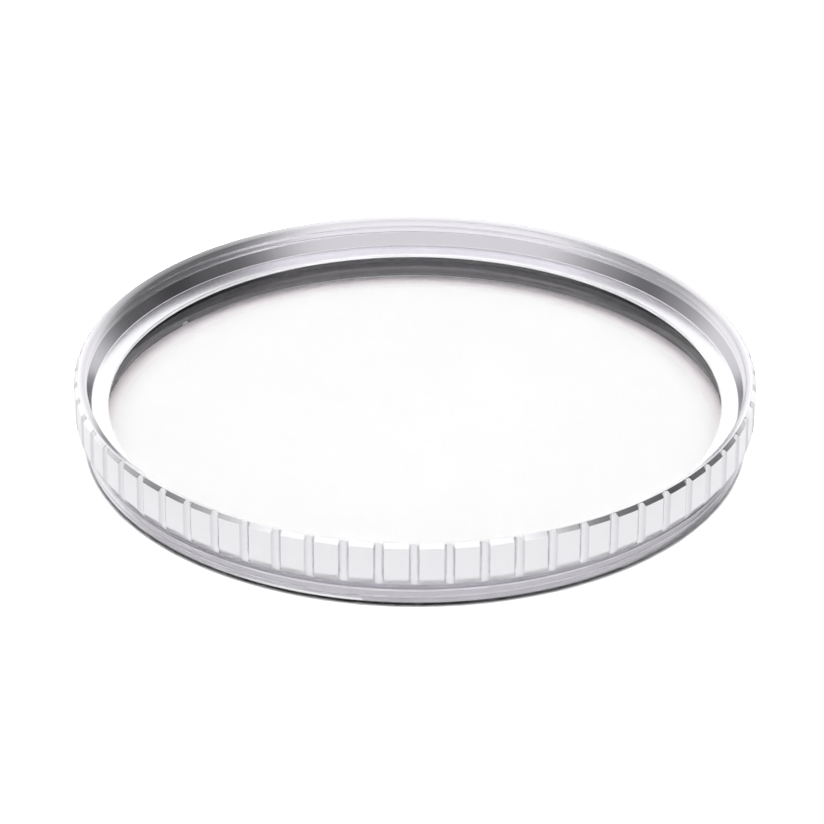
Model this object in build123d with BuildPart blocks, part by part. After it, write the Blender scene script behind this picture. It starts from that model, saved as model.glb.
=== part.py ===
from build123d import *

import os
from math import radians, tan

# Screw-in lens filter: a grooved metal rim, a clear glass disc and a ring that holds the glass from behind.
# Millimetres. +Z points to the front of the filter, and the origin is on the axis at the rear edge.

# Thread, the same size at the front (female) and at the rear (male)
thread_diameter = 72.0
thread_pitch = 0.75
female_thread_depth_per_pitch = 0.5413

# Rim, grip band
overall_height = 8.0
grip_overhang = 1.0
grip_height = 5.0
grip_top_chamfer = 0.44
front_land = 0.09
grip_bottom_chamfer_width = 0.46
grip_bottom_chamfer_height = 0.9
groove_count = 64
groove_width = 1.1
groove_depth = 0.4

# Rim, behind the grip band
relief_width = 0.8
relief_depth = 0.8
rear_edge_chamfer = 0.6

# Rim, inside
mouth_chamfer_height = 0.56
front_thread_end = 1.8
runout_width = 0.2
front_well_depth = 3.06
flange_cone_width = 0.9
flange_root_fillet = 0.2
flange_slope = 9.0
flange_width = 2.7
flange_edge_thickness = 0.4
rear_wall = 1.65
rear_bore_chamfer = 0.25

# Glass
glass_thickness = 1.5
glass_edge_bevel = 0.2
glass_clearance = 0.1

# Retaining ring
ring_wall = 0.75
ring_height = 2.15
ring_bevel_width = 0.45
ring_bevel_height = 1.1
ring_clearance = 0.05
notch_count = 2
notch_width = 1.2
notch_depth = 0.5
notch_angle = 140.0

# Radii and heights that follow from them, all from the thread
thread_radius = thread_diameter / 2
female_thread_radius = thread_radius - female_thread_depth_per_pitch * thread_pitch
grip_radius = thread_radius + grip_overhang
mouth_radius = grip_radius - grip_top_chamfer - front_land
relief_radius = thread_radius - relief_depth
flange_radius = thread_radius - flange_cone_width
aperture_radius = thread_radius - flange_width
rear_bore_radius = thread_radius - rear_wall
glass_radius = rear_bore_radius - glass_clearance
ring_radius = rear_bore_radius - ring_clearance
ring_bore_radius = ring_radius - ring_wall

grip_bottom = overall_height - grip_height
relief_bottom = grip_bottom - relief_width
runout_top = overall_height - front_thread_end
runout_bottom = runout_top - runout_width
flange_root = overall_height - front_well_depth
flange_edge = flange_root - (flange_radius - aperture_radius) * tan(radians(flange_slope))
glass_seat = flange_edge - flange_edge_thickness
glass_bottom = glass_seat - glass_thickness
ring_bottom = glass_bottom - ring_height

# Rim: one turned section, then the grip grooves milled along the axis
with BuildPart() as rim:
    with BuildSketch(Plane.XZ) as rim_section:
        with BuildLine():
            Polyline(
                (mouth_radius, overall_height),
                (grip_radius - grip_top_chamfer, overall_height),
                (grip_radius, overall_height - grip_top_chamfer),
                (grip_radius, grip_bottom + grip_bottom_chamfer_height),
                (grip_radius - grip_bottom_chamfer_width, grip_bottom),
                (relief_radius, grip_bottom),
                (relief_radius, relief_bottom),
                (thread_radius, relief_bottom),
                (thread_radius, rear_edge_chamfer),
                (thread_radius - rear_edge_chamfer, 0),
                (rear_bore_radius + rear_bore_chamfer, 0),
                (rear_bore_radius, rear_bore_chamfer),
                (rear_bore_radius, glass_seat),
                (aperture_radius, glass_seat),
                (aperture_radius, flange_edge),
                (flange_radius, flange_root),
                (thread_radius, runout_bottom),
                (thread_radius, runout_top),
                (female_thread_radius, runout_top),
                (female_thread_radius, overall_height - mouth_chamfer_height),
                close=True,
            )
        make_face()
        flange_corner = rim_section.vertices().sort_by_distance((flange_radius, flange_root))[0]
        fillet(flange_corner, radius=flange_root_fillet)
    revolve(axis=Axis.Z)

    # Each groove is a round-bottomed slot in plan, open outwards and run out through both chamfers
    groove_reach = groove_depth + groove_width
    groove_middle = grip_radius - groove_depth + groove_width / 2 + groove_reach / 2
    with BuildSketch(Plane.XY.offset(grip_bottom)):
        with PolarLocations(groove_middle, groove_count):
            SlotCenterToCenter(groove_reach, groove_width)
    extrude(amount=grip_height, mode=Mode.SUBTRACT)

# Glass: a flat disc with bevelled edges, its front face against the flange
with BuildPart() as glass:
    with BuildSketch(Plane.XY.offset(glass_bottom)):
        Circle(glass_radius)
    extrude(amount=glass_thickness)
    chamfer(glass.edges(), length=glass_edge_bevel)

# Retaining ring: screwed in from the rear against the glass, bevelled inside, with spanner notches behind
with BuildPart() as retaining_ring:
    with BuildSketch(Plane.XZ):
        with BuildLine():
            Polyline(
                (ring_bore_radius, glass_bottom),
                (ring_radius, glass_bottom),
                (ring_radius, ring_bottom),
                (ring_bore_radius + ring_bevel_width, ring_bottom),
                (ring_bore_radius, ring_bottom + ring_bevel_height),
                close=True,
            )
        make_face()
    revolve(axis=Axis.Z)

    ring_middle = (ring_bore_radius + ring_radius) / 2
    notch_reach = 2 * ring_wall
    with BuildSketch(Plane.XY.offset(ring_bottom)):
        with PolarLocations(ring_middle, notch_count, start_angle=notch_angle):
            Rectangle(notch_reach, notch_width)
    extrude(amount=notch_depth, mode=Mode.SUBTRACT)

rim.part.label = "rim"
glass.part.label = "glass"
retaining_ring.part.label = "retaining_ring"

os.makedirs("parts", exist_ok=True)
export_step(rim.part, "parts/rim.step")
export_step(glass.part, "parts/glass.step")
export_step(retaining_ring.part, "parts/retaining_ring.step")
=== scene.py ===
"""Visual model of a screw-in lens filter: a bright grooved rim, a coated glass disc and a black retaining ring.

Sizes are in millimetres until a mesh is made. +Z points to the front of the filter and -Y to the viewer.
"""
import logging
import math
from dataclasses import dataclass, field
from enum import Enum
from typing import Any

import bmesh
import bpy
import numpy as np
from mathutils import Matrix, Vector


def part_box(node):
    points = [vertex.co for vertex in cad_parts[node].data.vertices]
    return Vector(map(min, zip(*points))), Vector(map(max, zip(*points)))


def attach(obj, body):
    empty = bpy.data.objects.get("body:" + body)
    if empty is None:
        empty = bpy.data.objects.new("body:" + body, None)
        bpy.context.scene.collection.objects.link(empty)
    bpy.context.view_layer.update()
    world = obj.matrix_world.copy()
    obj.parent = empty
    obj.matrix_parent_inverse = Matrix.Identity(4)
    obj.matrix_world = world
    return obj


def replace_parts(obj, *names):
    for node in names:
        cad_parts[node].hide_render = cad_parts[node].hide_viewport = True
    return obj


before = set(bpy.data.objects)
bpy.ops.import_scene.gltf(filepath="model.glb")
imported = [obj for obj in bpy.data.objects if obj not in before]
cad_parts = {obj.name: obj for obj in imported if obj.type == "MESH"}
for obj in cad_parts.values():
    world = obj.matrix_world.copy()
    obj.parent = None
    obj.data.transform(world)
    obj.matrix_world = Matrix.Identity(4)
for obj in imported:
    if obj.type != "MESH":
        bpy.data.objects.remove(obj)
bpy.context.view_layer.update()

MM = 0.001
TURN = 2.0 * math.pi
MERGE_MM = 2e-4
SLIVER_MM = 1e-4
log = logging.getLogger("lens_filter")


class Slot(Enum):
    """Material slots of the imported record."""

    RIM = "rim_aluminium"
    GLASS = "coated_glass"
    RING = "ring_black"


def linear(hex_colour: str) -> tuple[float, float, float, float]:
    """Turns an sRGB hex colour to linear light.

    Args:
        hex_colour: Six hex digits after a hash sign.

    Returns:
        Linear red, green and blue, and an alpha of 1.
    """
    srgb = np.array([int(hex_colour[i:i + 2], 16) for i in (1, 3, 5)]) / 255.0
    light = np.where(srgb <= 0.04045, srgb / 12.92, ((srgb + 0.055) / 1.055) ** 2.4)
    return (*light.tolist(), 1.0)


def add_node(tree: bpy.types.NodeTree, kind: str, settings: dict[str, Any] | None = None,
             sockets: dict[str | int, Any] | None = None) -> bpy.types.Node:
    """Adds a node, sets it up and links what feeds it.

    Args:
        tree: The node tree that gets the node.
        kind: The node's type name.
        settings: Properties of the node itself.
        sockets: Input name or number to a value, or to the output socket that feeds it.

    Returns:
        The new node.
    """
    node = tree.nodes.new(kind)
    for name, value in (settings or {}).items():
        setattr(node, name, value)
    for key, value in (sockets or {}).items():
        if isinstance(value, bpy.types.NodeSocket):
            tree.links.new(value, node.inputs[key])
        else:
            node.inputs[key].default_value = value
    return node


def new_tree(name: str) -> tuple[bpy.types.Material, bpy.types.NodeTree]:
    """Makes an empty node material.

    Args:
        name: The material's name.

    Returns:
        The material and its node tree.
    """
    material = bpy.data.materials.new(name)
    material.use_nodes = True
    material.node_tree.nodes.clear()
    return material, material.node_tree


def soften(corners: np.ndarray, setbacks: np.ndarray, steps: np.ndarray) -> list[np.ndarray]:
    """Rounds the corners of a closed section.

    Each corner becomes a circular arc between two points A and B that lie the corner's setback away from it on
    its two sides: ((1-s)^2 A + 2 w s (1-s) corner + s^2 B) / ((1-s)^2 + 2 w s (1-s) + s^2) for s from 0 to 1,
    where w is the sine of half the corner's angle.

    Args:
        corners: Radius and height of each corner, in order round the section.
        setbacks: How far each corner's rounding starts from it.
        steps: Points on each corner's rounding.

    Returns:
        For each corner, the radius and height of its points.
    """
    before = np.roll(corners, 1, axis=0) - corners
    after = np.roll(corners, -1, axis=0) - corners
    before /= np.linalg.norm(before, axis=1, keepdims=True)
    after /= np.linalg.norm(after, axis=1, keepdims=True)
    start, end = corners + before * setbacks[:, None], corners + after * setbacks[:, None]
    pull = np.sqrt((1.0 - (before * after).sum(axis=1)) / 2.0)
    turn = [np.linspace(0.0, 1.0, count)[:, None] for count in steps]
    shares = [((1 - s) ** 2, 2 * w * s * (1 - s), s ** 2) for s, w in zip(turn, pull)]
    return [(p * a + q * c + r * b) / (p + q + r)
            for (p, q, r), a, c, b in zip(shares, start, corners, end)]


def carried_round(columns: int, rows: int, meets: np.ndarray | None = None) -> np.ndarray:
    """Joins a closed section, carried once round the axis, into quads.

    Args:
        columns: Places of the section round the axis.
        rows: Points of the section.
        meets: Row of the first column that each row of the last column runs into, for a helix.

    Returns:
        Vertex numbers of each quad, four to a row.
    """
    meets = np.arange(rows) if meets is None else meets
    column, row = np.meshgrid(np.arange(columns), np.arange(rows), indexing="ij")
    above = (row + 1) % rows
    last = column == columns - 1
    beside = np.where(last, 0, column + 1) * rows
    quads = [column * rows + row, beside + np.where(last, meets[row], row),
             beside + np.where(last, meets[above], above), column * rows + above]
    return np.stack(quads, axis=-1).reshape(-1, 4)


def keep_flats(mesh: bpy.types.Mesh) -> None:
    """Gives each vertex its faces' mean normal, weighted by area, so broad faces shade flat to their edges.

    Args:
        mesh: The mesh, with smooth faces.
    """
    normal, area = np.empty(3 * len(mesh.polygons)), np.empty(len(mesh.polygons))
    size, corner = np.empty(len(mesh.polygons), np.int32), np.empty(len(mesh.loops), np.int32)
    mesh.polygons.foreach_get("normal", normal)
    mesh.polygons.foreach_get("area", area)
    mesh.polygons.foreach_get("loop_total", size)
    mesh.loops.foreach_get("vertex_index", corner)
    pull = np.repeat(normal.reshape(-1, 3) * area[:, None], size, axis=0)
    total = np.stack([np.bincount(corner, pull[:, axis], len(mesh.vertices)) for axis in range(3)], axis=1)
    mesh.normals_split_custom_set_from_vertices(total / np.linalg.norm(total, axis=1, keepdims=True))


def make_piece(name: str, radius: np.ndarray, height: np.ndarray, angle: np.ndarray,
               quads: np.ndarray) -> bpy.types.Object:
    """Puts a surface of revolution, given as a grid, into a mesh object at the origin.

    A grid point lies at radius (cos angle, sin angle) and at its height. Points that fall together are merged.

    Args:
        name: The object's name.
        radius: Radius of each grid point, column by row, in millimetres.
        height: Height of each grid point, column by row, in millimetres.
        angle: Angle of each column, in radians.
        quads: Vertex numbers of each quad.

    Returns:
        The object, linked to the scene.
    """
    points = np.stack([radius * np.cos(angle)[:, None], radius * np.sin(angle)[:, None], height], axis=-1)
    mesh = bpy.data.meshes.new(name)
    mesh.from_pydata((points.reshape(-1, 3) * MM).tolist(), [], quads.tolist())
    shape = bmesh.new()
    shape.from_mesh(mesh)
    bmesh.ops.remove_doubles(shape, verts=shape.verts, dist=MERGE_MM * MM)
    bmesh.ops.dissolve_degenerate(shape, edges=shape.edges, dist=SLIVER_MM * MM)
    bmesh.ops.recalc_face_normals(shape, faces=shape.faces)
    shape.to_mesh(mesh)
    shape.free()
    mesh.polygons.foreach_set("use_smooth", np.ones(len(mesh.polygons), bool))
    keep_flats(mesh)
    piece = bpy.data.objects.new(name, mesh)
    bpy.context.scene.collection.objects.link(piece)
    return piece


def put_on(piece: bpy.types.Object, node: str, material: bpy.types.Material) -> None:
    """Lets a piece stand for its CAD node on the root body, and gives it its material.

    Args:
        piece: The piece's object.
        node: Name of the CAD node that it replaces.
        material: Its material.
    """
    piece.data.materials.append(material)
    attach(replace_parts(piece, node), "root")


@dataclass(frozen=True)
class SatinAluminium:
    """Aluminium, fine-turned and clear anodised: a bright, slightly cool metal with soft-edged reflections."""

    colour: str = "#EFEEF1"
    # painted shade: the darker, greyer colour that stands in for shade in threads, grooves and on the cone above
    # the flange
    painted_shade_colour: str = "#B6B4BA"
    roughness: float = 0.2
    painted_shade_attribute: str = "painted_shade_layer"

    def material(self) -> bpy.types.Material:
        """Makes the material, a metal whose anodic film blurs what it mirrors, with painted shade darkening it in
        threads, grooves and on the cone above the flange.

        Returns:
            The material.
        """
        material, tree = new_tree("aluminium_turned_clear_anodised_painted_shade")
        # painted shade: the base colour is mixed towards the darker colour by the painted shade attribute
        painted_shade_layer = add_node(tree, "ShaderNodeAttribute", {"attribute_name": self.painted_shade_attribute})
        colour = add_node(tree, "ShaderNodeMix", {"data_type": "RGBA"}, {
            0: painted_shade_layer.outputs["Fac"], 6: linear(self.colour), 7: linear(self.painted_shade_colour)})
        metal = add_node(tree, "ShaderNodeBsdfPrincipled", sockets={
            "Base Color": colour.outputs[2], "Metallic": 1.0, "Roughness": self.roughness})
        add_node(tree, "ShaderNodeOutputMaterial", sockets={"Surface": metal.outputs["BSDF"]})
        return material


@dataclass(frozen=True)
class BlackAnodised:
    """Aluminium, turned and dyed matt black: a dull dark coat that keeps stray light out of the lens."""

    colour: str = "#17171A"
    roughness: float = 0.5

    def material(self) -> bpy.types.Material:
        """Makes the material; the dyed film hides the metal, so it takes no metallic share.

        Returns:
            The material.
        """
        material, tree = new_tree("aluminium_black_anodised")
        coat = add_node(tree, "ShaderNodeBsdfPrincipled", sockets={
            "Base Color": linear(self.colour), "Roughness": self.roughness, "IOR": 1.6})
        add_node(tree, "ShaderNodeOutputMaterial", sockets={"Surface": coat.outputs["BSDF"]})
        return material


@dataclass(frozen=True)
class CoatedGlass:
    """Optical glass, polished and coated: nearly unseen, with a weak rosy rest of reflection."""

    ior: float = 1.52
    rest_of_reflection: str = "#5A4650"

    def material(self) -> bpy.types.Material:
        """Makes the material; the coating takes most of the white reflection away and leaves a rosy rest.

        Returns:
            The material.
        """
        material, tree = new_tree("optical_glass_coated")
        glass = add_node(tree, "ShaderNodeBsdfPrincipled", sockets={
            "Base Color": linear("#FFFFFF"), "Roughness": 0.0, "IOR": self.ior, "Transmission Weight": 1.0,
            "Specular Tint": linear(self.rest_of_reflection)})
        add_node(tree, "ShaderNodeOutputMaterial", sockets={"Surface": glass.outputs["BSDF"]})
        return material


@dataclass(frozen=True)
class Thread:
    """A 60 degree metric thread: its pitch, and flats and flanks as shares of the pitch."""

    pitch: float = 0.75
    crest: float = 0.02
    root: float = 0.05
    corner: float = 0.008
    lead: float = 0.0

    def phases(self) -> tuple[np.ndarray, np.ndarray]:
        """Gives one turn's section: flat crest, flank, flat root and flank, with each corner cut by two points.

        Returns:
            Place along the pitch from 0 to 1, and depth from 0 at the crest to 1 at the root.
        """
        bends = np.array([self.crest / 2, 0.5 - self.root / 2, 0.5 + self.root / 2, 1.0 - self.crest / 2])
        place = (bends[:, None] + np.array([-self.corner, self.corner])).ravel()
        rise = self.corner / (bends[1] - bends[0])
        return place, np.array([0.0, rise, 1.0 - rise, 1.0, 1.0, 1.0 - rise, rise, 0.0])

    def turns(self, angle: np.ndarray) -> np.ndarray:
        """Gives the share of a turn at each column, past the thread's lead, as a column of its own."""
        return (angle - angle[0])[:, None] / TURN + self.lead

    def radius(self, height: np.ndarray, angle: np.ndarray, crest: float, depth: float) -> np.ndarray:
        """Works out the radius: crest radius + depth * the section's depth at the place height / pitch - turn.

        Args:
            height: Heights, column by row.
            angle: Angle of each column, in radians.
            crest: Radius of the crest.
            depth: How far the root lies from the crest, negative towards the axis.

        Returns:
            Radii, column by row.
        """
        place, deep = self.phases()
        return crest + depth * np.interp((height / self.pitch - self.turns(angle)) % 1.0, place, deep)

    def heights(self, low: float, high: float, angle: np.ndarray) -> np.ndarray:
        """Works out the rows of a threaded wall: each climbs one pitch in a turn, held between the wall's ends.

        Args:
            low: Height of the wall's lower end.
            high: Height of its upper end.
            angle: Angle of each column, in radians.

        Returns:
            Heights, column by row, upwards.
        """
        first = math.floor(low / self.pitch - self.lead) - 1
        last = math.ceil(high / self.pitch - self.lead)
        along = (np.arange(first, last + 1)[:, None] + self.phases()[0]).ravel()
        return np.clip(self.pitch * (along + self.turns(angle)), low, high)


@dataclass
class Rim:
    """The turned rim: grooved grip band, front female thread, flange, relief groove and rear male thread."""

    top: float
    thread_radius: float = 36.0
    grip_overhang: float = 1.0
    grip_height: float = 5.0
    top_chamfer: float = 0.44
    front_land: float = 0.09
    bottom_chamfer_width: float = 0.46
    bottom_chamfer_height: float = 0.9
    groove_count: int = 64
    groove_width: float = 1.1
    groove_depth: float = 0.4
    relief_width: float = 0.8
    relief_depth: float = 0.8
    rear_chamfer: float = 0.6
    mouth_chamfer_height: float = 0.56
    front_thread_end: float = 1.8
    runout_width: float = 0.2
    well_depth: float = 3.06
    cone_width: float = 0.9
    flange_fillet: float = 0.2
    flange_slope: float = 9.0
    flange_width: float = 2.7
    flange_edge: float = 0.4
    rear_wall: float = 1.65
    bore_chamfer: float = 0.25
    male_depth_per_pitch: float = 0.6134
    female_depth_per_pitch: float = 0.5413
    edge_break: float = 0.05
    lip: float = 0.015
    near: float = 0.02
    rounding_steps: int = 3
    fillet_steps: int = 10
    runout_rows: int = 5
    groove_samples: int = 7
    land_samples: int = 4
    # painted shade, 0 to 1: on the rear thread, at the front thread's root, on the cone above the flange and at
    # the grip grooves' walls
    thread_painted_shade: float = 0.33
    root_painted_shade: float = 0.55
    cone_painted_shade: float = 0.8
    groove_painted_shade: float = 0.48
    male_thread: Thread = Thread(crest=0.125, root=0.167)
    female_thread: Thread = Thread(lead=0.4)
    finish: SatinAluminium = field(default_factory=SatinAluminium)

    @property
    def grip_radius(self) -> float:
        """Outer radius of the grip band."""
        return self.thread_radius + self.grip_overhang

    @property
    def mouth_radius(self) -> float:
        """Radius where the mouth's bevel starts from the narrow land on the front edge."""
        return self.grip_radius - self.top_chamfer - self.front_land

    @property
    def male_depth(self) -> float:
        """Depth of the male thread."""
        return self.male_depth_per_pitch * self.male_thread.pitch

    @property
    def female_depth(self) -> float:
        """Depth of the female thread."""
        return self.female_depth_per_pitch * self.female_thread.pitch

    def section(self) -> list[np.ndarray]:
        """Gives the softened turned section, from the mouth outwards and round.

        Corners 0 to 4 are cut by the grip grooves, 5 and 6 are in the relief groove, 7 and 8 end the rear thread,
        9 to 17 go round the rear edge, bore, flange and run-out, and 18 and 19 end the front thread.

        Returns:
            For each corner, the radius and height of its points.
        """
        outer, thread = self.grip_radius, self.thread_radius
        inner = thread - self.female_depth
        grip_bottom = self.top - self.grip_height
        relief_bottom = grip_bottom - self.relief_width
        relief = thread - self.relief_depth
        bore, aperture = thread - self.rear_wall, thread - self.flange_width
        root, runout_top = self.top - self.well_depth, self.top - self.front_thread_end
        slope = math.radians(self.flange_slope)
        edge = root - (self.flange_width - self.cone_width) * math.tan(slope)
        runout_bottom = runout_top - self.runout_width
        incline = math.atan2(runout_bottom - root, self.cone_width)
        corners = np.array([
            (self.mouth_radius, self.top),
            (outer - self.top_chamfer, self.top),
            (outer, self.top - self.top_chamfer),
            (outer, grip_bottom + self.bottom_chamfer_height),
            (outer - self.bottom_chamfer_width, grip_bottom),
            (relief, grip_bottom),
            (relief, relief_bottom),
            (thread, relief_bottom),
            (thread, self.rear_chamfer),
            (thread - self.rear_chamfer, 0.0),
            (bore + self.bore_chamfer, 0.0),
            (bore, self.bore_chamfer),
            (bore, edge - self.flange_edge),
            (aperture, edge - self.flange_edge),
            (aperture, edge),
            (thread - self.cone_width, root),
            (thread, runout_bottom),
            (thread, runout_top),
            (inner, runout_top),
            (inner, self.top - self.mouth_chamfer_height),
        ])
        setbacks = np.full(len(corners), self.edge_break)
        steps = np.full(len(corners), self.rounding_steps)
        flange_root, runout_end = 15, 17
        setbacks[flange_root] = self.flange_fillet * math.tan((incline - slope) / 2)
        steps[flange_root] = self.fillet_steps
        setbacks[runout_end] = 0.0
        return soften(corners, setbacks, steps)

    def columns(self) -> tuple[np.ndarray, np.ndarray]:
        """Spreads the columns over the grooves and the lands between them.

        In a groove of round bottom, radius r round a centre at c from the axis, a point at the angle a of the
        bottom lies at the column angle asin(r sin a / c) and at the radius c cos(column angle) - r cos a.

        Returns:
            Angle of each column, and the radius of the groove's bottom there, or the grip's radius on a land.
        """
        pitch = TURN / self.groove_count
        half = self.groove_width / 2
        centre = self.grip_radius - self.groove_depth + half
        outer = self.grip_radius
        opening = math.acos((centre ** 2 + outer ** 2 - half ** 2) / (2.0 * centre * outer))
        side = math.asin(centre * math.sin(opening) / half)
        bottom = np.linspace(-side, side, self.groove_samples)
        across = np.arcsin(half * np.sin(bottom) / centre)
        floor = centre * np.cos(across) - half * np.cos(bottom)
        lip = across[-1] + self.edge_break / self.grip_radius
        land = np.linspace(lip, pitch - lip, self.land_samples + 2)
        angle = (np.arange(self.groove_count)[:, None] * pitch + np.concatenate([across, land])).ravel()
        reach = np.concatenate([floor, np.full(len(land), self.grip_radius)])
        return angle, np.tile(reach, self.groove_count)

    def cut_grooves(self, rows: np.ndarray, reach: np.ndarray) -> tuple[np.ndarray, np.ndarray]:
        """Cuts the grooves into the rows of one chamfer, which slide along it to where the groove meets it.

        Args:
            rows: Radius and height of the rows, in order of radius, rising or falling.
            reach: Radius of the groove's bottom in each column.

        Returns:
            Radii and heights, column by row.
        """
        order = np.argsort(rows[:, 0], kind="stable")
        met = np.interp(reach, rows[order, 0], rows[order, 1])
        cut = rows[None, :, 0] > reach[:, None]
        return np.where(cut, reach[:, None], rows[None, :, 0]), np.where(cut, met[:, None], rows[None, :, 1])

    def male_walls(self, angle: np.ndarray) -> list[tuple[np.ndarray, np.ndarray]]:
        """Works out the rear thread: its edge at the relief groove, its wall, and its end on the rear chamfer.

        The chamfer's cone, radius = thread radius - chamfer + height, cuts off what stands beyond it.

        Args:
            angle: Angle of each column, in radians.

        Returns:
            Radii and heights, column by row, of the three.
        """
        upper = self.top - self.grip_height - self.relief_width
        edge = np.full((len(angle), 1), upper)
        wall = self.male_thread.heights(self.rear_chamfer, upper - self.lip, angle)[:, ::-1]
        cone = np.linspace(self.rear_chamfer, self.rear_chamfer - self.male_depth, self.runout_rows + 1)[1:]
        cone = np.broadcast_to(cone, (len(angle), self.runout_rows))
        return [(np.minimum(self.male_thread.radius(rows, angle, self.thread_radius, -self.male_depth),
                            self.thread_radius - self.rear_chamfer + rows), rows) for rows in (edge, wall, cone)]

    def female_walls(self, angle: np.ndarray) -> list[tuple[np.ndarray, np.ndarray]]:
        """Works out the front thread: its edge at the run-out, its wall, and its end on the mouth's bevel.

        The bevel's cone, radius = mouth radius - (top - height) / slope, cuts off what stands inside it.

        Args:
            angle: Angle of each column, in radians.

        Returns:
            Radii and heights, column by row, of the three.
        """
        crest = self.thread_radius - self.female_depth
        slope = self.mouth_chamfer_height / (self.mouth_radius - crest)
        lower, foot = self.top - self.front_thread_end, self.top - self.mouth_chamfer_height
        edge = np.full((len(angle), 1), lower)
        wall = self.female_thread.heights(lower + self.lip, foot, angle)
        cone = np.linspace(foot, foot + self.female_depth * slope, self.runout_rows + 1)[1:]
        cone = np.broadcast_to(cone, (len(angle), self.runout_rows))
        return [(np.maximum(self.female_thread.radius(rows, angle, crest, self.female_depth),
                            self.mouth_radius - (self.top - rows) / slope), rows) for rows in (edge, wall, cone)]

    def painted_shade_amount(self, points: np.ndarray) -> np.ndarray:
        """Works out the painted shade on the metal.

        In a grip groove it is the groove's share * (offset / half width)^2, darkest at the groove's walls. It is
        even on the rear thread and on the cone above the flange, and grows in the front thread from the crest to
        the root.

        Args:
            points: Points of the rim, in millimetres.

        Returns:
            Painted shade of each point, 0 on plain turned faces.
        """
        radius, height = np.hypot(points[:, 0], points[:, 1]), points[:, 2]
        pitch, half = TURN / self.groove_count, self.groove_width / 2
        turn = (np.arctan2(points[:, 1], points[:, 0]) + pitch / 2) % pitch - pitch / 2
        share = radius * np.sin(turn) / half
        grip_bottom = self.top - self.grip_height
        milled = (np.abs(share) < 1.0) & (height > grip_bottom - self.near) \
            & (radius > self.grip_radius - self.groove_depth - self.near)
        male = (height < grip_bottom + self.near) & (radius > self.thread_radius - self.relief_depth - self.near)
        female = (height > self.top - self.well_depth + self.near) & (radius < self.thread_radius + self.near)
        cone = female & (height < self.top - self.front_thread_end - self.near)
        depth = np.clip((radius - self.thread_radius) / self.female_depth + 1.0, 0.0, 1.0)
        turns = self.thread_painted_shade + (self.root_painted_shade - self.thread_painted_shade) * depth
        # painted shade in the grooves, on the cone, on the front thread and on the rear thread
        return np.select([milled, cone, female, male],
                         [self.groove_painted_shade * share ** 2, self.cone_painted_shade, turns, self.thread_painted_shade], 0.0)

    def build(self) -> bpy.types.Object:
        """Builds the rim as one closed surface with both threads and all grooves.

        Returns:
            The rim's object.
        """
        angle, reach = self.columns()
        section = self.section()

        def turned(first: int, last: int) -> tuple[np.ndarray, np.ndarray]:
            """Gives the plain turned rows from one corner to another, the same in every column."""
            rows = np.concatenate(section[first:last + 1])
            return tuple(np.broadcast_to(rows[:, i], (len(angle), len(rows))) for i in (0, 1))

        blocks = [self.cut_grooves(np.concatenate(section[0:3]), reach),
                  self.cut_grooves(np.concatenate(section[3:5]), reach),
                  turned(5, 6), *self.male_walls(angle), turned(9, 17), *self.female_walls(angle)]
        per_turn = len(self.male_thread.phases()[0])
        ends = np.cumsum([block[0].shape[1] for block in blocks])
        meets = np.arange(ends[-1])
        meets[ends[3]:ends[4]] = np.maximum(meets[ends[3]:ends[4]] - per_turn, ends[3])
        meets[ends[7]:ends[8]] = np.minimum(meets[ends[7]:ends[8]] + per_turn, ends[8] - 1)
        radius, height = (np.concatenate([block[i] for block in blocks], axis=1) for i in (0, 1))
        return make_piece("rim_body", radius, height, angle, carried_round(len(angle), int(ends[-1]), meets))

    def dress(self, piece: bpy.types.Object) -> None:
        """Gives the rim its metal, with each point's painted shade as an attribute.

        Args:
            piece: The rim's object.
        """
        points = np.empty(3 * len(piece.data.vertices))
        piece.data.vertices.foreach_get("co", points)
        # painted shade, stored for each point
        painted_shade_layer = piece.data.attributes.new(self.finish.painted_shade_attribute, "FLOAT", "POINT")
        painted_shade_layer.data.foreach_set("value", self.painted_shade_amount(points.reshape(-1, 3) / MM))
        put_on(piece, "rim", self.finish.material())


@dataclass
class GlassDisc:
    """The flat glass disc with bevelled edges, against the rear side of the flange."""

    radius: float
    bottom: float
    top: float
    bevel: float = 0.2
    edge_break: float = 0.04
    rounding_steps: int = 3
    segments: int = 256
    finish: CoatedGlass = field(default_factory=CoatedGlass)

    def build(self) -> bpy.types.Object:
        """Builds the disc by turning half its section round the axis.

        Returns:
            The disc's object.
        """
        inner = self.radius - self.bevel
        corners = np.array([(0.0, self.bottom), (inner, self.bottom), (self.radius, self.bottom + self.bevel),
                            (self.radius, self.top - self.bevel), (inner, self.top), (0.0, self.top)])
        setbacks = np.array([0.0, *[self.edge_break] * 4, 0.0])
        rows = np.concatenate(soften(corners, setbacks, np.full(len(corners), self.rounding_steps)))
        angle = np.arange(self.segments) * TURN / self.segments
        radius, height = (np.broadcast_to(rows[:, i], (self.segments, len(rows))) for i in (0, 1))
        return make_piece("glass_disc", radius, height, angle, carried_round(self.segments, len(rows)))

    def dress(self, piece: bpy.types.Object) -> None:
        """Gives the disc its coated glass."""
        put_on(piece, "glass", self.finish.material())


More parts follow.
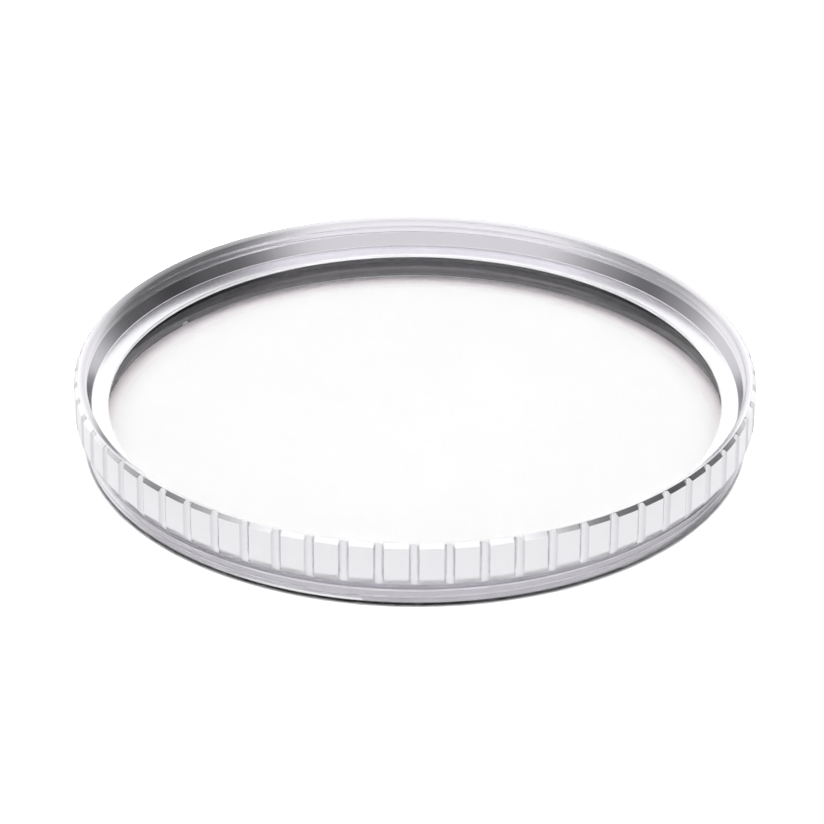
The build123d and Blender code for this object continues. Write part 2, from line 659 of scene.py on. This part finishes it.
@dataclass
class RetainingRing:
    """The black ring behind the glass, bevelled inside, with spanner notches in its rear edge."""

    radius: float
    bottom: float
    top: float
    wall: float = 0.75
    bevel_width: float = 0.45
    bevel_height: float = 1.1
    notch_width: float = 1.2
    notch_depth: float = 0.5
    notch_degrees: tuple[float, ...] = (140.0, 320.0)
    notch_side: float = 0.001
    edge_break: float = 0.04
    rounding_steps: int = 3
    segments: int = 360
    finish: BlackAnodised = field(default_factory=BlackAnodised)

    def build(self) -> bpy.types.Object:
        """Builds the ring as a closed section carried round, lifted to the notch's floor inside a notch.

        In a notch the rear rows rise to the floor, and the bevel's rows slide up the bevel with them.

        Returns:
            The ring's object.
        """
        bore = self.radius - self.wall
        corners = np.array([(bore, self.top), (self.radius, self.top), (self.radius, self.bottom),
                            (bore + self.bevel_width, self.bottom), (bore, self.bottom + self.bevel_height)])
        rows = np.concatenate(soften(corners, np.full(len(corners), self.edge_break),
                                     np.full(len(corners), self.rounding_steps)))
        half = self.notch_width / (2.0 * (bore + self.wall / 2))
        inner = 1.0 - self.notch_side
        sides = np.radians(np.array(self.notch_degrees)[:, None]) + half * np.array([-1.0, -inner, inner, 1.0])
        angle = np.sort(np.concatenate([np.arange(self.segments) * TURN / self.segments, sides.ravel()]))
        away = np.abs((angle[:, None] - np.radians(np.array(self.notch_degrees)) + math.pi) % TURN - math.pi)
        notched = (away < half * (1.0 - self.notch_side / 2)).any(axis=1)[:, None]
        floor = self.bottom + self.notch_depth
        height = np.where(notched, np.maximum(rows[:, 1], floor), rows[:, 1])
        lifted = height - rows[:, 1]
        slide = np.where(rows[:, 0] < bore + self.bevel_width + self.edge_break,
                         lifted * self.bevel_width / self.bevel_height, 0.0)
        radius = np.maximum(rows[:, 0] - slide, bore)
        return make_piece("black_ring", radius, height, angle, carried_round(len(angle), len(rows)))

    def dress(self, piece: bpy.types.Object) -> None:
        """Gives the ring its black coat."""
        put_on(piece, "retaining_ring", self.finish.material())


@dataclass(frozen=True)
class Flag:
    """A dark card beside the set, which bright metal mirrors: the way to its middle, half width, half of its
    soft edge's width, and the share of the white that it takes away."""

    towards: tuple[float, float, float]
    half_degrees: float
    soft_degrees: float
    depth: float


@dataclass
class Studio:
    """White sweep under a soft overhead light, with dark flags at both sides for the metal to mirror.

    To the eye the floor has painted zones over its real shading: inside the filter it is dimmed a little, close to
    its inner edge it is lifted to an even, pink-tinted plateau (a painted shadow over the real one), plain under
    the edge, which keeps the contact shadow dark, and lifted to white outside, which paints the shadow round the
    base away. The radii of each change are in millimetres.
    """

    floor_half_metres: float = 3.0
    floor_colour: str = "#F4F4F4"
    # painted dimming: inside the filter the floor, as seen, is a little darker
    inside_colour: str = "#F8F8F8"
    inside_gain: float = 0.94
    # painted shadow: under the inner edge the floor's colour, as seen, is lifted and tinted pink to shape the real
    # shadow band
    painted_shadow_tint: str = "#FAEFF4"
    painted_shadow_lift: float = 2.5
    # painted light: outside the rim the floor's colour, as seen, is lifted so far that the real shadow turns
    # white, all but the contact line
    painted_white_lift: float = 4.5
    painted_shadow_radii: tuple[float, float] = (32.3, 34.9)
    # plain colour under the rim's edge, so that the real contact shadow stays dark
    edge_radii: tuple[float, float] = (34.9, 35.3)
    painted_white_radii: tuple[float, float] = (35.75, 36.15)
    overhead_half_degrees: float = 13.5
    overhead_soft_degrees: float = 3.0
    overhead_share: float = 0.5
    fill_half_degrees: float = 36.0
    fill_soft_degrees: float = 8.0
    front_weight: float = 0.6
    mirrored_white: float = 1.2
    twice_mirrored_lift: float = 0.4
    flags: tuple[Flag, ...] = (Flag((0.86, 0.10, 0.48), 33.0, 13.0, 0.86),
                               Flag((0.86, 0.10, 0.48), 11.0, 9.0, 0.95),
                               Flag((-0.84, 0.05, 0.52), 20.0, 14.0, 0.66),
                               Flag((-0.85, 0.05, 0.52), 9.0, 8.0, 0.85))

    def build_floor(self) -> bpy.types.Object:
        """Lays the pale floor, which keeps the real shadow only where its painted zones leave it, and is left out
        where it is looked at from below.

        Returns:
            The floor's object.
        """
        half = self.floor_half_metres
        mesh = bpy.data.meshes.new("floor")
        mesh.from_pydata([(-half, -half, 0.0), (half, -half, 0.0), (half, half, 0.0), (-half, half, 0.0)],
                         [], [(0, 1, 2, 3)])
        floor = bpy.data.objects.new("floor", mesh)
        bpy.context.scene.collection.objects.link(floor)
        material, tree = new_tree("paper_sweep_painted_shadow_zones")
        path = add_node(tree, "ShaderNodeLightPath")
        plain = linear(self.floor_colour)
        inside = tuple(self.inside_gain * part for part in linear(self.inside_colour))
        painted_shadow = tuple(self.painted_shadow_lift * part for part in linear(self.painted_shadow_tint))
        outside = tuple(self.painted_white_lift * part for part in plain)
        place = add_node(tree, "ShaderNodeTexCoord")
        radius = add_node(tree, "ShaderNodeVectorMath", {"operation": "LENGTH"}, {0: place.outputs["Object"]})
        beyond = [add_node(tree, "ShaderNodeMapRange", {"interpolation_type": "SMOOTHSTEP"}, {
            "Value": radius.outputs["Value"], "From Min": ends[0] * MM, "From Max": ends[1] * MM})
            for ends in (self.painted_shadow_radii, self.edge_radii, self.painted_white_radii)]
        # painted shadow and painted light: the floor's colour, as seen, changes with the radius over its real
        # shading
        within = add_node(tree, "ShaderNodeMix", {"data_type": "RGBA"}, {
            0: beyond[0].outputs["Result"], 6: inside, 7: painted_shadow})
        under = add_node(tree, "ShaderNodeMix", {"data_type": "RGBA"}, {
            0: beyond[1].outputs["Result"], 6: within.outputs[2], 7: plain})
        lifted = add_node(tree, "ShaderNodeMix", {"data_type": "RGBA"}, {
            0: beyond[2].outputs["Result"], 6: under.outputs[2], 7: outside})
        straight = add_node(tree, "ShaderNodeMath", {"operation": "MAXIMUM"}, {
            0: path.outputs["Is Camera Ray"], 1: path.outputs["Is Transmission Ray"]})
        unmirrored = add_node(tree, "ShaderNodeMath", {"operation": "LESS_THAN"}, {
            0: path.outputs["Glossy Depth"], 1: 0.5})
        seen = add_node(tree, "ShaderNodeMath", {"operation": "MULTIPLY"}, {
            0: straight.outputs[0], 1: unmirrored.outputs[0]})
        colour = add_node(tree, "ShaderNodeMix", {"data_type": "RGBA"}, {
            0: seen.outputs[0], 6: plain, 7: lifted.outputs[2]})
        paper = add_node(tree, "ShaderNodeBsdfDiffuse", sockets={"Color": colour.outputs[2]})
        clear = add_node(tree, "ShaderNodeBsdfTransparent")
        side = add_node(tree, "ShaderNodeNewGeometry")
        mixed = add_node(tree, "ShaderNodeMixShader", sockets={
            0: side.outputs["Backfacing"], 1: paper.outputs["BSDF"], 2: clear.outputs["BSDF"]})
        add_node(tree, "ShaderNodeOutputMaterial", sockets={"Surface": mixed.outputs["Shader"]})
        mesh.materials.append(material)
        return floor

    def round_patch(self, tree: bpy.types.NodeTree, way: bpy.types.NodeSocket, towards: tuple[float, float, float],
                    half: float, soft: float, level: float) -> bpy.types.NodeSocket:
        """Adds a soft-edged round patch of the sky.

        Args:
            tree: The world's node tree.
            way: Output socket with the way that is looked.
            towards: The way to the patch's middle.
            half: Half of the patch's width, in degrees.
            soft: Half of its edge's width, in degrees.
            level: Value inside the patch, with 0 outside it.

        Returns:
            Output socket with the patch's value.
        """
        near = add_node(tree, "ShaderNodeVectorMath", {"operation": "DOT_PRODUCT"}, {
            0: way, 1: tuple(Vector(towards).normalized())})
        patch = add_node(tree, "ShaderNodeMapRange", {"interpolation_type": "SMOOTHSTEP"}, {
            "Value": near.outputs["Value"],
            "From Min": math.cos(math.radians(half + soft)), "From Max": math.cos(math.radians(half - soft)),
            "To Min": 0.0, "To Max": level})
        return patch.outputs["Result"]

    def build_light(self) -> bpy.types.World:
        """Lights the set from overhead and all round; the metal mirrors white with the dark flags instead.

        The overhead patch covers sin^2(half width) of what a level floor sees, so its strength is its share of
        the light over that. Light that goes on from the floor meets the patch, also by way of the metal. What
        is mirrored twice is lifted, so that the flange stays bright with the painted shade of the thread in it.

        Returns:
            The world.
        """
        world = bpy.data.worlds.new("overhead_light_and_flags")
        world.use_nodes = True
        tree = world.node_tree
        tree.nodes.clear()
        way = add_node(tree, "ShaderNodeTexCoord").outputs["Generated"]
        path = add_node(tree, "ShaderNodeLightPath")
        patch = self.overhead_share / math.sin(math.radians(self.overhead_half_degrees)) ** 2
        overhead = self.round_patch(tree, way, (0.0, 0.0, 1.0), self.overhead_half_degrees,
                                    self.overhead_soft_degrees, patch)
        fill = (1.0 - self.overhead_share) / math.sin(math.radians(self.fill_half_degrees)) ** 2
        dome = self.round_patch(tree, way, (0.0, 0.0, 1.0), self.fill_half_degrees, self.fill_soft_degrees, fill)
        front = add_node(tree, "ShaderNodeVectorMath", {"operation": "DOT_PRODUCT"}, {
            0: way, 1: (0.0, -self.front_weight, 0.0)})
        weighted = add_node(tree, "ShaderNodeMath", {"operation": "MULTIPLY_ADD"}, {
            0: dome, 1: front.outputs["Value"], 2: dome})
        lit = add_node(tree, "ShaderNodeMath", {"operation": "ADD"}, {0: overhead, 1: weighted.outputs[0]})
        cards = [self.round_patch(tree, way, flag.towards, flag.half_degrees, flag.soft_degrees,
                                  flag.depth * self.mirrored_white) for flag in self.flags]
        dark = cards[0]
        for card in cards[1:]:
            darker = add_node(tree, "ShaderNodeMath", {"operation": "MAXIMUM"}, {0: dark, 1: card})
            dark = darker.outputs[0]
        mirrored = add_node(tree, "ShaderNodeMath", {"operation": "SUBTRACT"}, {
            0: self.mirrored_white, 1: dark})
        twice = add_node(tree, "ShaderNodeMath", {"operation": "GREATER_THAN"}, {
            0: path.outputs["Glossy Depth"], 1: 1.5})
        lift = add_node(tree, "ShaderNodeMath", {"operation": "MULTIPLY_ADD"}, {
            0: twice.outputs[0], 1: self.twice_mirrored_lift, 2: 1.0})
        lifted = add_node(tree, "ShaderNodeMath", {"operation": "MULTIPLY"}, {
            0: mirrored.outputs[0], 1: lift.outputs[0]})
        seen = add_node(tree, "ShaderNodeMix", {"data_type": "FLOAT"}, {
            0: path.outputs["Is Glossy Ray"], 2: 1.0, 3: lifted.outputs[0]})
        lighting = add_node(tree, "ShaderNodeMath", {"operation": "GREATER_THAN"}, {
            0: path.outputs["Diffuse Depth"], 1: 0.5})
        strength = add_node(tree, "ShaderNodeMix", {"data_type": "FLOAT"}, {
            0: lighting.outputs[0], 2: seen.outputs[0], 3: lit.outputs[0]})
        light = add_node(tree, "ShaderNodeBackground", sockets={
            "Color": linear("#FFFFFF"), "Strength": strength.outputs[0]})
        add_node(tree, "ShaderNodeOutputWorld", sockets={"Surface": light.outputs["Background"]})
        world.cycles.sampling_method = "NONE"
        bpy.context.scene.world = world
        bpy.context.scene.cycles.blur_glossy = 0.0
        return world


@dataclass
class ViewCamera:
    """A long lens in front of the filter and above it. Pixels are of the square picture."""

    target_height: float
    picture: float = 824.0
    distance: float = 495.8
    elevation: float = 28.965
    azimuth: float = 0.0
    roll: float = 0.27
    focal_pixels: float = 4571.0
    target_pixel: tuple[float, float] = (415.14, 368.85)
    sensor: float = 36.0
    clip: tuple[float, float] = (0.01, 100.0)

    def build(self) -> bpy.types.Object:
        """Places the camera on the sphere round the middle of the front edge, turned by the small roll.

        Returns:
            The camera's object.
        """
        a, e, roll = (math.radians(v) for v in (self.azimuth, self.elevation, self.roll))
        back = Vector((math.sin(a) * math.cos(e), -math.cos(a) * math.cos(e), math.sin(e)))
        level = Vector((math.cos(a), math.sin(a), 0.0))
        upright = back.cross(level)
        right = level * math.cos(roll) + upright * math.sin(roll)
        up = upright * math.cos(roll) - level * math.sin(roll)
        place = Vector((0.0, 0.0, self.target_height)) + back * self.distance
        data = bpy.data.cameras.new("view_camera")
        data.sensor_width = self.sensor
        data.lens = self.focal_pixels * self.sensor / self.picture
        data.shift_x = (self.picture / 2 - self.target_pixel[0]) / self.picture
        data.shift_y = (self.target_pixel[1] - self.picture / 2) / self.picture
        data.clip_start, data.clip_end = self.clip
        camera = bpy.data.objects.new("view_camera", data)
        bpy.context.scene.collection.objects.link(camera)
        turned = Matrix((right, up, back)).transposed().to_4x4()
        camera.matrix_world = Matrix.Translation(place * MM) @ turned
        bpy.context.scene.camera = camera
        return camera


def box_mm(node: str) -> tuple[float, float, float]:
    """Reads a round CAD node's size.

    Args:
        node: The node's name.

    Returns:
        Its outer radius, bottom and top, in millimetres.
    """
    low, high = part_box(node)
    return (high.x - low.x) / (2 * MM), low.z / MM, high.z / MM


def main() -> None:
    """Builds the filter, the set and the camera."""
    logging.basicConfig(level=logging.INFO, format="%(name)s: %(message)s")
    rim_top = box_mm("rim")[2]
    for part in (Rim(rim_top), GlassDisc(*box_mm("glass")), RetainingRing(*box_mm("retaining_ring"))):
        piece = part.build()
        part.dress(piece)
        log.info("%s: %d vertices, %d faces", piece.name, len(piece.data.vertices), len(piece.data.polygons))
    studio = Studio()
    log.info("stage: %s", studio.build_floor().name)
    log.info("light: %s", studio.build_light().name)
    log.info("camera: %s", ViewCamera(rim_top).build().name)
    bpy.context.scene.view_settings.view_transform = "Standard"


if __name__ == "__main__":
    main()
